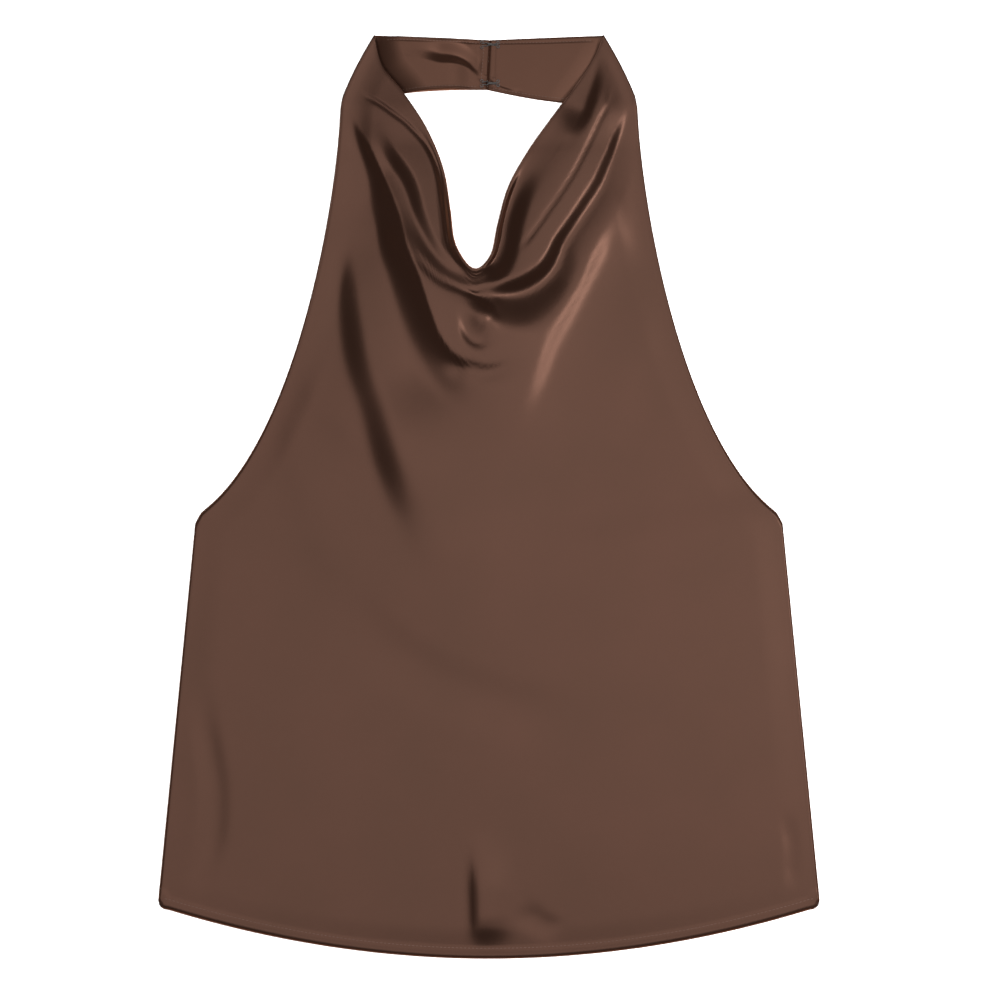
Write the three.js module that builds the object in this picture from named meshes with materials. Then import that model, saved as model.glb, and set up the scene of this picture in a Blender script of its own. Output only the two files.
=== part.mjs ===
import * as THREE from 'three';

// Driving sizes of the top laid flat, in millimetres.
// X runs across the wearer, +Y towards the neck, +Z up from the surface it lies on.
const halfLength = 336.5;        // half of the length from the neckband to the middle of the hem
const foldTopHalf = 83.5;        // centre to the upper end of a side-neck fold
const strapCornerHalf = 108;     // centre to the lower end of a side-neck fold
const strapCornerY = 288;
const foldBow = 3;               // outward bow of the side-neck fold
const underarmHalf = 213.5;      // half of the width from underarm to underarm
const underarmY = -14;
const hemHalf = 241;             // half of the hem width
const hemRadius = 765;           // radius of the hem's curve
const hemCornerRadius = 7;       // rounded corner where the side seam meets the hem
const cloth = 1.2;               // thickness of a cloth wall
const seamGap = 0.3;             // space left between two pieces that are sewn together
const steepest = 2.2;            // largest upright thickness of a sloping wall, in cloth thicknesses

// The armhole is one sweep: how far its two ends pull on the curve, across and up
const armholeTopPull = [3, -83];
const armholeUnderarmPull = [-69, 46];

// The side-neck loop: the strap turns over here and joins the neckband under it
const loopRise = 2.1;            // how far the neckband's end turns up
const bandLoopReach = 7;         // how far in from the fold the neckband starts to turn up
const frontLoopReach = 10;       // the same for the strap over it
const edgeTurn = 2.5;            // width over which a free edge turns down
const sideEase = 25;             // width over which the folds die away towards the sides
const hemEase = 12;              // the same towards the hem
const neckEase = 30;             // the same towards the neckline, where part of their height stays
const neckLow = 0.8;
const neckTurn = 2;              // width over which the neckline's edge turns down
const neckSink = 0.4;            // how much of the height it turns down
const lipTurn = 8;               // the same for the cowl's lip, which sinks by more
const lipSink = 0.6;
const lipShare = [0.36, 0.11];   // where along the neckline the lip lies, and its spread

// The back panel under the front: its top edge is a shallow scoop
const backInset = 1.5;           // how far the back lies inside the front's outline
const backScoopY = -46;
const backScoopRise = 30;
const overBackFade = 34;         // width over which the front sinks past the back's top edge

// The neckband shows its inside behind the neckline and butts at the centre back
const bandMiddleTopY = 333.2;
const bandMiddleLowY = 297;
const bandSlant = 1.1;           // lean of the butted ends, half of it each way
const bandMiddleX = -0.4;
const bandHalves = [
  { name: 'neckband_left', side: -1, lowBow: 3 },
  { name: 'neckband_right', side: 1, lowBow: -4.5 },
];

// How many cells the grids have
const frontColumns = 52;
const frontRows = 50;
const backColumns = 24;
const backRows = 2;
const bandColumns = 14;
const bandRows = 4;

// The neckline, from the left side-neck fold round the cowl's lip to the right one
const neckline = new THREE.SplineCurve([
  [-83.5, halfLength], [-77.5, 314], [-62, 294], [-45, 268], [-33, 239], [-28, 210], [-24, 184],
  [-11, 166], [1, 176], [6, 198], [14, 226], [29, 253], [47, 278], [64, 301], [76, 319.5],
  [83.5, halfLength],
].map(([x, y]) => new THREE.Vector2(x, y)));

// Broad swells of the cloth over a low rest: middle, reach across and along, height
const restHeight = 1.4;
const leastHeight = 0.2;
const swellFall = 1.5;           // how fast a swell fades towards its reach
const climbStart = 0.8;          // share of a fold's wall after which the cloth starts to climb back
const swells = [
  { name: 'cowl', x: -5, y: 140, across: 95, along: 120, height: 13 },
  { name: 'left strap', x: -58, y: 245, across: 36, along: 90, height: 6 },
  { name: 'right strap', x: 62, y: 245, across: 46, along: 95, height: 5.8 },
  { name: 'left of the cowl', x: -82, y: 95, across: 54, along: 120, height: 11 },
  { name: 'below the cowl', x: -40, y: -5, across: 75, along: 100, height: 5 },
  { name: 'bulge in the pocket', x: -3, y: 131, across: 11, along: 12, height: 2.4 },
  { name: 'middle of the hem', x: -10, y: -300, across: 55, along: 75, height: 2.6 },
  { name: 'body', x: 0, y: -120, across: 210, along: 230, height: 3 },
];

// Folds: from a lip the cloth falls to the right-hand side of the path by its drop over the width
// of its wall, and climbs back over its reach. Each list holds values at even steps along the path.
// fallsAt and climbsAt say where the wall and the climb are steepest, from 0 at their start to 1
// at their end; start and end are the shares of the path over which the fold eases in and out
const folds = [
  {
    name: 'left cowl fold', start: 0.1, end: 0.24,
    drops: [3.7, 7.5, 10.1, 12.3, 12.5],
    walls: [10, 17, 23, 28, 34],
    reaches: [50, 80, 110, 80],
    fallsAt: [0], climbsAt: [0.5],
    path: [
      [-105, 285], [-100, 277], [-94, 266], [-88, 257], [-82, 246], [-72, 224], [-64, 204], [-59, 184],
      [-52, 166], [-47, 151], [-42, 136], [-36, 120], [-29, 109], [-20, 99.5], [-10, 91], [1, 84], [13, 79],
    ],
  },
  {
    name: 'long left fold', start: 0.15, end: 0.45,
    drops: [3.6, 6, 7.2, 6.4],
    walls: [18, 26, 30, 32],
    reaches: [80, 90],
    fallsAt: [0.5], climbsAt: [0.5],
    path: [
      [-100, 198], [-94, 160], [-89, 129], [-82, 100], [-71, 71], [-62, 42], [-52, 12], [-39, -17],
      [-27, -42], [-18, -68],
    ],
  },
  {
    name: 'right cowl fold', start: 0.05, end: 0.1,
    drops: [1, 4.5, 8.4, 8.8, 7.6, 6.2, 5.2, 4.4, 3.6, 2.8, 2.2],
    walls: [6, 9, 13, 13, 12, 12, 12, 11, 9, 7, 6],
    reaches: [14, 30, 40, 36, 31, 28, 27, 26, 24, 22, 20],
    fallsAt: [0], climbsAt: [0.7, 0.9, 0.9, 0.7, 0.5, 0.3, 0.2, 0, 0, 0, 0],
    path: [
      [-21, 152], [-12, 153], [-4, 154], [8, 156], [23, 161], [34, 168], [41, 177], [47, 189],
      [56, 202], [66, 217], [75, 231], [82, 246], [89, 261], [96, 275], [103, 291],
    ],
  },
  {
    name: 'hollow left of the neckline', start: 0.2, end: 0.15,
    drops: [1.5, 3.7, 4.8, 5, 4.6, 3.6, 1.8, 0.6, 0],
    walls: [9, 11, 12, 12, 11, 9, 7, 5, 4],
    reaches: [24, 34, 40, 38, 32, 26, 22, 18, 14],
    fallsAt: [0.2], climbsAt: [0.5],
    path: [
      [-77, 269], [-68, 253], [-56, 237], [-50, 224], [-46, 209], [-41, 195], [-35, 182], [-26, 171],
      [-13, 165], [-2, 165.5], [6, 173],
    ],
  },
  {
    name: 'hollow right of the neckline', start: 0.12, end: 0.3,
    drops: [0, 1.6, 5, 6, 5, 3.5, 2.5],
    walls: [4, 6, 6.5, 6.5, 6, 6, 6],
    reaches: [20, 40, 56, 60, 52, 40, 30],
    fallsAt: [0.3], climbsAt: [0.5],
    path: [
      [-8, 164.5], [0, 166.5], [5, 172], [8, 182], [9.5, 192], [11, 202], [14, 213], [18, 224],
      [23, 235], [28, 243],
    ],
  },
  {
    name: 'bright fall beside the pocket', start: 0.3, end: 0.15,
    drops: [1, 1.7, 2, 2.2, 2.5, 2.5, 2, 1.2],
    walls: [9, 11, 12, 13, 13, 13, 12, 10],
    reaches: [70],
    fallsAt: [0.25], climbsAt: [0.5],
    path: [
      [15, 50], [25, 71], [33.5, 93], [41, 115], [52, 136.5], [63, 158], [77, 183], [88, 204],
    ],
  },
  {
    name: 'trough at the hem', start: 0.02, end: 0.4,
    drops: [4.4, 4, 2.6, 1],
    walls: [42, 38],
    reaches: [58, 52],
    fallsAt: [0.5], climbsAt: [0.5],
    path: [[-64, -334], [-63, -300], [-60, -275], [-56, -250]],
  },
];

// Ridges and troughs: each rises or sinks by its height on both sides of its path, over the reach
// on its left and right, and eases in and out like a fold
const ridges = [
  {
    name: 'upper right trough', height: -3.6, left: 26, right: 9, start: 0.35, end: 0.05,
    path: [[56, 262], [64, 275], [69, 289], [73.5, 304], [77, 319], [79, 328]],
  },
  {
    name: 'ridge at the hem', height: 1.8, left: 10, right: 9, start: 0.6, end: 0.1,
    path: [[4, -238], [5, -270], [5, -300], [4, -330]],
  },
];

function ease(low, high, value) {
  return THREE.MathUtils.smoothstep(value, low, high);
}

// Quarter-round rise from 0 at an edge to 1 at the given reach
function quarterRound(distance, reach) {
  const t = Math.min(1, Math.max(0, distance / reach));
  return Math.sqrt(1 - (1 - t) * (1 - t));
}

// The side-neck fold, armhole and side seam of one side (side is -1 for the left, 1 for the right),
// with v from 0 at the neck to 1 at the hem
const foldShare = 0.1;
const armholeShare = 0.5;
const cornerBlend = 0.008;
const hemSideY = -halfLength + (hemHalf - hemCornerRadius) ** 2 / (2 * hemRadius) + hemCornerRadius;
const sideFold = new THREE.QuadraticBezierCurve(
  new THREE.Vector2(foldTopHalf, halfLength),
  new THREE.Vector2((foldTopHalf + strapCornerHalf) / 2 + foldBow, (halfLength + strapCornerY) / 2),
  new THREE.Vector2(strapCornerHalf, strapCornerY),
);
const armhole = new THREE.CubicBezierCurve(
  new THREE.Vector2(strapCornerHalf, strapCornerY),
  new THREE.Vector2(strapCornerHalf + armholeTopPull[0], strapCornerY + armholeTopPull[1]),
  new THREE.Vector2(underarmHalf + armholeUnderarmPull[0], underarmY + armholeUnderarmPull[1]),
  new THREE.Vector2(underarmHalf, underarmY),
);
const sideSeam = new THREE.LineCurve(
  new THREE.Vector2(underarmHalf, underarmY),
  new THREE.Vector2(hemHalf, hemSideY),
);

function sharpSide(v) {
  if (v < foldShare) {
    return sideFold.getPoint(v / foldShare);
  }
  if (v < armholeShare) {
    return armhole.getPoint((v - foldShare) / (armholeShare - foldShare));
  }
  return sideSeam.getPoint((v - armholeShare) / (1 - armholeShare));
}

function sidePoint(side, v) {
  const blend = Math.min(cornerBlend, v, 1 - v);
  const point = sharpSide(v - blend).add(sharpSide(v + blend)).multiplyScalar(0.5);
  return new THREE.Vector2(side * point.x, point.y);
}

function hemPoint(u) {
  const x = THREE.MathUtils.lerp(-hemHalf, hemHalf, u);
  const corner = Math.max(0, Math.abs(x) - (hemHalf - hemCornerRadius)) / hemCornerRadius;
  const curveX = Math.min(Math.abs(x), hemHalf - hemCornerRadius);
  const rise = hemCornerRadius * (1 - Math.sqrt(1 - corner * corner));
  return new THREE.Vector2(x, -halfLength + curveX ** 2 / (2 * hemRadius) + rise);
}

// A point of the front panel in plan: u across from left to right, v from the neckline to the hem
function frontPlan(u, v) {
  const neck = neckline.getPointAt(u);
  const hem = hemPoint(u);
  const left = sidePoint(-1, v);
  const right = sidePoint(1, v);
  const [neckLeft, neckRight] = [sidePoint(-1, 0), sidePoint(1, 0)];
  const [hemLeft, hemRight] = [sidePoint(-1, 1), sidePoint(1, 1)];
  const blend = (axis) => (1 - v) * neck[axis] + v * hem[axis] + (1 - u) * left[axis] + u * right[axis]
    - (1 - v) * ((1 - u) * neckLeft[axis] + u * neckRight[axis])
    - v * ((1 - u) * hemLeft[axis] + u * hemRight[axis]);
  return new THREE.Vector2(blend('x'), blend('y'));
}

// Distance from a point to a path, and the side it lies on (1 for the left)
function measureFrom(samples, x, y) {
  let distance = Infinity;
  let side = 1;
  for (let i = 0; i < samples.length - 1; i += 1) {
    const a = samples[i];
    const stepX = samples[i + 1].x - a.x;
    const stepY = samples[i + 1].y - a.y;
    const passed = ((x - a.x) * stepX + (y - a.y) * stepY) / (stepX * stepX + stepY * stepY);
    const t = THREE.MathUtils.clamp(passed, 0, 1);
    const dx = x - (a.x + t * stepX);
    const dy = y - (a.y + t * stepY);
    const gap = Math.hypot(dx, dy);
    if (gap < distance) {
      distance = gap;
      side = Math.sign(stepX * dy - stepY * dx) || 1;
    }
  }
  return { distance, side };
}

// The share of a path passed at a point, averaged over its nearest part so that it never jumps
const shareBlur = 2.5;
function shareOf(samples, x, y) {
  const gaps = samples.map((point) => Math.hypot(x - point.x, y - point.y));
  const nearest = Math.min(...gaps);
  let weights = 0;
  let places = 0;
  gaps.forEach((gap, i) => {
    const weight = Math.exp((nearest - gap) / shareBlur);
    weights += weight;
    places += weight * i;
  });
  return places / weights / (samples.length - 1);
}

const pathSteps = 60;
for (const line of [...folds, ...ridges]) {
  const path = new THREE.SplineCurve(line.path.map(([x, y]) => new THREE.Vector2(x, y)));
  line.samples = path.getSpacedPoints(pathSteps);
}

const edgeSteps = 120;
const loopSteps = 30;
const steps = (count) => Array.from({ length: count + 1 }, (_, i) => i / count);
const loopLines = [-1, 1].map((side) => steps(loopSteps).map((t) => sidePoint(side, foldShare * t)));
const neckEdge = neckline.getSpacedPoints(edgeSteps);
const hemEdge = steps(edgeSteps).map((t) => hemPoint(1 - t));
const sideEdges = [-1, 1].map((side) => steps(edgeSteps).map((v) => sidePoint(side, v)));

// The value of a list at a share of the path
function along(values, share) {
  const place = share * (values.length - 1);
  const before = Math.min(Math.floor(place), Math.max(0, values.length - 2));
  const after = Math.min(before + 1, values.length - 1);
  return THREE.MathUtils.lerp(values[before], values[after], place - before);
}

// A rise from 0 to 1 that is steepest at its start, middle or end, as at is 0, 0.5 or 1
function bend(share, at) {
  const t = THREE.MathUtils.clamp(share, 0, 1);
  const first = Math.max(0, 1 - 2 * at);
  const last = Math.max(0, 2 * at - 1);
  return first * (1 - (1 - t) ** 1.5) + (1 - first - last) * t * t * (3 - 2 * t) + last * t ** 1.5;
}

function easeAlong({ start, end }, share) {
  return ease(0, start, share) * ease(0, end, 1 - share);
}

function foldDrop(x, y) {
  let sum = 0;
  for (const fold of folds) {
    const { distance, side } = measureFrom(fold.samples, x, y);
    if (side < 0 && distance < Math.max(...fold.reaches)) {
      const share = shareOf(fold.samples, x, y);
      const wall = along(fold.walls, share);
      const down = bend(distance / wall, along(fold.fallsAt, share));
      const turn = wall * climbStart;
      const up = bend((distance - turn) / (along(fold.reaches, share) - turn), along(fold.climbsAt, share));
      sum += along(fold.drops, share) * down * (1 - up) * easeAlong(fold, share);
    }
  }
  return sum;
}

function ridgeHeight(x, y) {
  let sum = 0;
  for (const ridge of ridges) {
    const { distance, side } = measureFrom(ridge.samples, x, y);
    const reach = side > 0 ? ridge.left : ridge.right;
    if (distance < reach) {
      const across = 0.5 + 0.5 * Math.cos(Math.PI * distance / reach);
      sum += ridge.height * across * easeAlong(ridge, shareOf(ridge.samples, x, y));
    }
  }
  return sum;
}

function swellHeight(x, y) {
  return swells.reduce((sum, swell) => {
    const across = (x - swell.x) / swell.across;
    const along = (y - swell.y) / swell.along;
    return sum + swell.height * Math.exp(-swellFall * (across * across + along * along));
  }, 0);
}

function backTopY(x) {
  return backScoopY + backScoopRise * (x / underarmHalf) ** 2;
}

// How far a layer of the side-neck loop has turned up at a point
function loopLift(x, y, reach) {
  const distance = Math.min(...loopLines.map((line) => measureFrom(line, x, y).distance));
  return loopRise * (1 - quarterRound(distance, reach));
}

// The level that the front's underside may come down to: the surface, the back or the neckband
function frontFloor(x, y) {
  const layer = cloth + seamGap;
  const overBack = 1 - ease(0, overBackFade, y - backTopY(x) - backInset);
  const overBand = ease(strapCornerY - overBackFade, strapCornerY - backInset, y);
  return layer * Math.max(overBack, overBand) + loopLift(x, y, frontLoopReach);
}

function frontUnderside(x, y) {
  const fromNeck = measureFrom(neckEdge, x, y).distance;
  const fromHem = measureFrom(hemEdge, x, y).distance;
  const fromSides = Math.min(...sideEdges.map((edge) => measureFrom(edge, x, y).distance));
  const nearNeck = neckLow + (1 - neckLow) * ease(0, neckEase, fromNeck);
  const kept = ease(0, sideEase, fromSides) * ease(0, hemEase, fromHem) * nearNeck;
  const raised = restHeight + (swellHeight(x, y) + ridgeHeight(x, y) - foldDrop(x, y)) * kept;
  const height = leastHeight + (raised + Math.hypot(raised, 1)) / 2;
  const lip = Math.exp(-(((shareOf(neckEdge, x, y) - lipShare[0]) / lipShare[1]) ** 2));
  const atLip = lipSink * lip * (1 - ease(0, lipTurn, fromNeck));
  const turnedDown = neckSink * (1 - quarterRound(fromNeck, neckTurn)) + atLip;
  const outside = quarterRound(Math.min(fromSides, fromHem), edgeTurn);
  return frontFloor(x, y) + height * Math.min(1 - turnedDown, outside);
}

const slopeStep = 0.5;
function frontWall(x, y) {
  const low = frontUnderside(x, y);
  const slopeX = (frontUnderside(x + slopeStep, y) - frontUnderside(x - slopeStep, y)) / (2 * slopeStep);
  const slopeY = (frontUnderside(x, y + slopeStep) - frontUnderside(x, y - slopeStep)) / (2 * slopeStep);
  const upright = cloth * Math.min(steepest, Math.hypot(1, slopeX, slopeY));
  return [low, low + upright];
}

function backWall() {
  return [0, cloth];
}

function bandWall(x, y) {
  const low = loopLift(x, y, bandLoopReach);
  return [low, low + cloth];
}

// A cloth wall over a grid: plan gives each point's place and wall its underside and outer face
function clothMesh(name, material, columns, rows, plan, wall) {
  const positions = [];
  const layer = (columns + 1) * (rows + 1);
  const points = [];
  for (let j = 0; j <= rows; j += 1) {
    for (let i = 0; i <= columns; i += 1) {
      const point = plan(i / columns, j / rows);
      points.push([point.x, point.y, wall(point.x, point.y)]);
    }
  }
  for (const face of [0, 1]) {
    for (const [x, y, levels] of points) {
      positions.push(x, y, levels[face]);
    }
  }
  const index = [];
  const at = (i, j, face) => face * layer + j * (columns + 1) + i;
  const quad = (a, b, c, d) => index.push(a, b, c, a, c, d);
  for (let j = 0; j < rows; j += 1) {
    for (let i = 0; i < columns; i += 1) {
      quad(at(i, j, 1), at(i, j + 1, 1), at(i + 1, j + 1, 1), at(i + 1, j, 1));
      quad(at(i, j, 0), at(i + 1, j, 0), at(i + 1, j + 1, 0), at(i, j + 1, 0));
    }
  }
  for (let i = 0; i < columns; i += 1) {
    quad(at(i, 0, 0), at(i, 0, 1), at(i + 1, 0, 1), at(i + 1, 0, 0));
    quad(at(i, rows, 1), at(i, rows, 0), at(i + 1, rows, 0), at(i + 1, rows, 1));
  }
  for (let j = 0; j < rows; j += 1) {
    quad(at(0, j, 1), at(0, j, 0), at(0, j + 1, 0), at(0, j + 1, 1));
    quad(at(columns, j, 0), at(columns, j, 1), at(columns, j + 1, 1), at(columns, j + 1, 0));
  }
  const geometry = new THREE.BufferGeometry();
  geometry.setAttribute('position', new THREE.Float32BufferAttribute(positions, 3));
  geometry.setIndex(index);
  geometry.computeVertexNormals();
  const mesh = new THREE.Mesh(geometry, material);
  mesh.name = name;
  return mesh;
}

const satin = new THREE.MeshStandardMaterial({ color: '#64483c', roughness: 0.45, metalness: 0.1 });
const satinInside = new THREE.MeshStandardMaterial({ color: '#553a30', roughness: 0.55, metalness: 0.05 });
const darkWire = new THREE.MeshStandardMaterial({ color: '#2a2220', roughness: 0.4, metalness: 0.8 });

const group = new THREE.Group();
group.name = 'halter_neck_top';

// Front panel: the cowl, straps and body in one piece of satin. Its columns crowd towards the
// side edges and its rows towards the neckline, where the folds are
const columnCrowding = 0.6;
const rowCrowding = 0.6;
const rowLean = 0.3;
group.add(clothMesh('front_panel', satin.clone(), frontColumns, frontRows, (s, t) => {
  const u = s - columnCrowding * Math.sin(2 * Math.PI * s) / (2 * Math.PI);
  const lean = rowLean * Math.sin(Math.PI * t) / Math.PI;
  const v = t - rowCrowding * Math.sin(2 * Math.PI * t) / (2 * Math.PI) - lean;
  return frontPlan(u, v);
}, frontWall));

// Back panel: flat on the surface from the hem to the underarms
group.add(clothMesh('back_panel', satinInside.clone(), backColumns, backRows, (s, t) => {
  const half = (y) => THREE.MathUtils.mapLinear(y, underarmY, hemSideY, underarmHalf, hemHalf) - backInset;
  const across = 2 * s - 1;
  const top = backTopY(across * underarmHalf);
  const hem = hemPoint(THREE.MathUtils.lerp(backInset, 2 * hemHalf - backInset, s) / (2 * hemHalf)).y + backInset;
  const y = THREE.MathUtils.lerp(top, hem, t);
  return new THREE.Vector2(across * half(y), y);
}, backWall));

// Neckband halves: they lie inside up, from the side-neck folds to the butted centre back.
// Their columns crowd towards the loop at the folds
const bandCrowding = 1.6;
for (const { name, side, lowBow } of bandHalves) {
  group.add(clothMesh(name, satinInside.clone(), bandColumns, bandRows, (s, t) => {
    const across = 1 - (side < 0 ? s : 1 - s) ** bandCrowding;
    const outer = sidePoint(side, foldShare * t);
    const inner = new THREE.Vector2(
      bandMiddleX + side * seamGap / 2 + bandSlant * (1 - 2 * t),
      THREE.MathUtils.lerp(bandMiddleTopY, bandMiddleLowY, t),
    );
    const point = inner.lerp(outer, across);
    point.y += t * lowBow * Math.sin(Math.PI * across);
    return point;
  }, bandWall));
}

// Hooks on the right end of the neckband and eyes on the left end, near its top and bottom
const wireGauge = 0.8;
const hookLength = 8;
const eyeLength = 5;
const closureWidth = 4.4;
const closureInset = 1.2;
const closureCurveSteps = 8;
const closures = [
  { level: 'upper', y: bandMiddleTopY - 3.4 },
  { level: 'lower', y: bandMiddleLowY + 4.6 },
];

function plateMesh(name, length, x, y) {
  const half = closureWidth / 2;
  const shape = new THREE.Shape();
  shape.moveTo(half, -half);
  shape.lineTo(length - half, -half);
  shape.absarc(length - half, 0, half, -Math.PI / 2, Math.PI / 2);
  shape.lineTo(half, half);
  shape.absarc(half, 0, half, Math.PI / 2, 1.5 * Math.PI);
  const settings = { depth: wireGauge, bevelEnabled: false, curveSegments: closureCurveSteps };
  const mesh = new THREE.Mesh(new THREE.ExtrudeGeometry(shape, settings), darkWire.clone());
  mesh.name = name;
  mesh.position.set(x, y, cloth + seamGap);
  return mesh;
}

for (const { level, y } of closures) {
  group.add(plateMesh(`hook_${level}`, hookLength, closureInset, y));
  group.add(plateMesh(`eye_${level}`, eyeLength, -closureInset - eyeLength, y));
}

export default group;
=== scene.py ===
import math

import bpy
import numpy as np
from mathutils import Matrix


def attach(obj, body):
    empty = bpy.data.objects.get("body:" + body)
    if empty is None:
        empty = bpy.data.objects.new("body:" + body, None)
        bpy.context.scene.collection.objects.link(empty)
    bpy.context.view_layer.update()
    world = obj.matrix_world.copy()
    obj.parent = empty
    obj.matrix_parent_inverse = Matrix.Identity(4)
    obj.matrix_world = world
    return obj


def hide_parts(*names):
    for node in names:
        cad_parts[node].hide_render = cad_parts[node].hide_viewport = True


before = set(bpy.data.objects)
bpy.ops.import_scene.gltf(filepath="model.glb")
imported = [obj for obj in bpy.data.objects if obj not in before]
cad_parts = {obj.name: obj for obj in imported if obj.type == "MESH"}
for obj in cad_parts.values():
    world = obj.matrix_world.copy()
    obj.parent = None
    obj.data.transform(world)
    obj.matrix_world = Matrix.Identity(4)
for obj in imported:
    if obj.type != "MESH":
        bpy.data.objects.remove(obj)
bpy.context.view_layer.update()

# Studio: a sheet of white paper under the garment, a broad soft box overhead and a small strong
# one to the right, which gives the satin its long highlights. Everything is in metres.
MM = 0.001
PHOTO_SCALE = 0.73 * MM
PHOTO_CENTRE_X = 489
PHOTO_CENTRE_Y = 497
PHOTO_SIZE = 1000
CAMERA_HEIGHT = 1.72
WORLD_GLOW = 0.3
SENSOR = 36.0


def linear(hex_colour):
    """An sRGB hex colour as linear red, green, blue and alpha."""
    parts = [int(hex_colour[i:i + 2], 16) / 255 for i in (1, 3, 5)]
    return tuple(c / 12.92 if c <= 0.04045 else ((c + 0.055) / 1.055) ** 2.4 for c in parts) + (1.0,)


def add_node(tree, kind, settings=None, **inputs):
    """A node with its settings; an input is a value, or a socket that is linked to it."""
    node = tree.nodes.new(kind)
    for name, value in (settings or {}).items():
        setattr(node, name, value)
    for name, value in inputs.items():
        socket = node.inputs[int(name[1:])] if name[0] == "i" and name[1:].isdigit() else (
            node.inputs[name.replace("_", " ")])
        if isinstance(value, bpy.types.NodeSocket):
            tree.links.new(value, socket)
        else:
            socket.default_value = value
    return node


def new_material(name):
    material = bpy.data.materials.new(name)
    material.use_nodes = True
    tree = material.node_tree
    tree.nodes.clear()
    return material, tree


scene = bpy.context.scene
scene.view_settings.view_transform = "Standard"

camera_data = bpy.data.cameras.new("straight_down_camera")
camera = bpy.data.objects.new("straight_down_camera", camera_data)
scene.collection.objects.link(camera)
camera_data.sensor_width = SENSOR
camera_data.lens = SENSOR * CAMERA_HEIGHT / (PHOTO_SIZE * PHOTO_SCALE)
camera.location = (
    (PHOTO_SIZE / 2 - PHOTO_CENTRE_X) * PHOTO_SCALE,
    (PHOTO_CENTRE_Y - PHOTO_SIZE / 2) * PHOTO_SCALE,
    CAMERA_HEIGHT,
)
scene.camera = camera

FLOOR_HALF = 12.0
PAPER_GRAIN = 0.8 * MM
PAPER_CLOUD = 120.0 * MM
PAPER_RELIEF = 0.03 * MM

# Matt white paper: fine felt grain, and a faint unevenness in its white
floor_material, tree = new_material("matt_white_paper")
place = add_node(tree, "ShaderNodeTexCoord").outputs["Object"]
grain = add_node(tree, "ShaderNodeTexNoise", Vector=place, Scale=1 / PAPER_GRAIN, Detail=3.0)
cloud = add_node(tree, "ShaderNodeTexNoise", Vector=place, Scale=1 / PAPER_CLOUD, Detail=2.0)
white = add_node(tree, "ShaderNodeMix", {"data_type": "RGBA"}, i0=cloud.outputs[0],
                 i6=linear("#f6f6f6"), i7=linear("#f8f8f8"))
rough = add_node(tree, "ShaderNodeMapRange", Value=grain.outputs[0], To_Min=0.86, To_Max=0.94)
bump = add_node(tree, "ShaderNodeBump", Height=grain.outputs[0], Distance=PAPER_RELIEF, Strength=0.4)
shader = add_node(tree, "ShaderNodeBsdfPrincipled", Base_Color=white.outputs[2],
                  Roughness=rough.outputs[0], Normal=bump.outputs[0])
add_node(tree, "ShaderNodeOutputMaterial", Surface=shader.outputs[0])
floor_corners = [(x * FLOOR_HALF, y * FLOOR_HALF, 0) for x, y in ((-1, -1), (1, -1), (1, 1), (-1, 1))]
floor_mesh = bpy.data.meshes.new("paper_sweep")
floor_mesh.from_pydata(floor_corners, [], [(0, 1, 2, 3)])
floor_mesh.materials.append(floor_material)
floor = bpy.data.objects.new("paper_sweep", floor_mesh)
scene.collection.objects.link(floor)

SOFT_BOXES = [
    # name, place, size, watts, colour
    ("overhead_soft_box", (0.0, 0.0, 2.4), 2.6, 150.0, "#ffffff"),
    ("right_soft_box", (1.35, 0.0, 1.85), 0.7, 160.0, "#ffffff"),
]
for name, place, size, watts, colour in SOFT_BOXES:
    light = bpy.data.lights.new(name, "AREA")
    light.shape = "SQUARE"
    light.size = size
    light.energy = watts
    light.color = linear(colour)[:3]
    lamp = bpy.data.objects.new(name, light)
    scene.collection.objects.link(lamp)
    lamp.location = place
    direction = np.array([0, 0, 0]) - np.array(place)
    tilt = math.acos(-direction[2] / np.linalg.norm(direction))
    lamp.rotation_euler = (tilt, 0, math.atan2(direction[0], -direction[1]))

world = bpy.data.worlds.new("studio")
world.use_nodes = True
world.node_tree.nodes["Background"].inputs["Color"].default_value = linear("#ffffff")
world.node_tree.nodes["Background"].inputs["Strength"].default_value = WORLD_GLOW
scene.world = world

# Front panel: the cowl, both straps and the body, cut in one piece of satin on the bias so
# that the cowl hangs in soft folds. It lies on the back panel, and its free edges are turned
# under and roll down. The sizes are in millimetres.
HALF_LENGTH = 336.5
FOLD_TOP_HALF = 83.5
STRAP_CORNER = (108.0, 288.0)
FOLD_BOW = 3.0
UNDERARM = (213.5, -14.0)
HEM_HALF = 241.0
HEM_RADIUS = 765.0
HEM_CORNER_RADIUS = 7.0
ARMHOLE_TOP_PULL = (3.0, -83.0)
ARMHOLE_UNDERARM_PULL = (-69.0, 46.0)
CLOTH = 1.2
SEAM_GAP = 0.3
STEEPEST = 2.2
LOOP_RISE = 2.1
BAND_LOOP_REACH = 7.0
FRONT_LOOP_REACH = 10.0
EDGE_TURN = 2.5
NECK_TURN = 2.0
NECK_SINK = 0.4
LIP_TURN = 8.0
LIP_SINK = 0.6
LIP_SHARE = (0.36, 0.11)
NECK_LOW = 0.8
NECK_EASE = 30.0
SIDE_EASE = 25.0
HEM_EASE = 24.0
HEM_DEPTH = 8.0
HEM_THICKNESS = 0.35
WORN_WIDTH = 4.0
BACK_INSET = 1.5
BACK_SCOOP_Y = -46.0
BACK_SCOOP_RISE = 30.0
OVER_BACK_FADE = 34.0
FOLD_SHARE = 0.1
ARMHOLE_SHARE = 0.5
CORNER_BLEND = 0.008
REST_HEIGHT = 1.4
LEAST_HEIGHT = 0.2
SWELL_FALL = 1.5
CLIMB_START = 0.6

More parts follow.
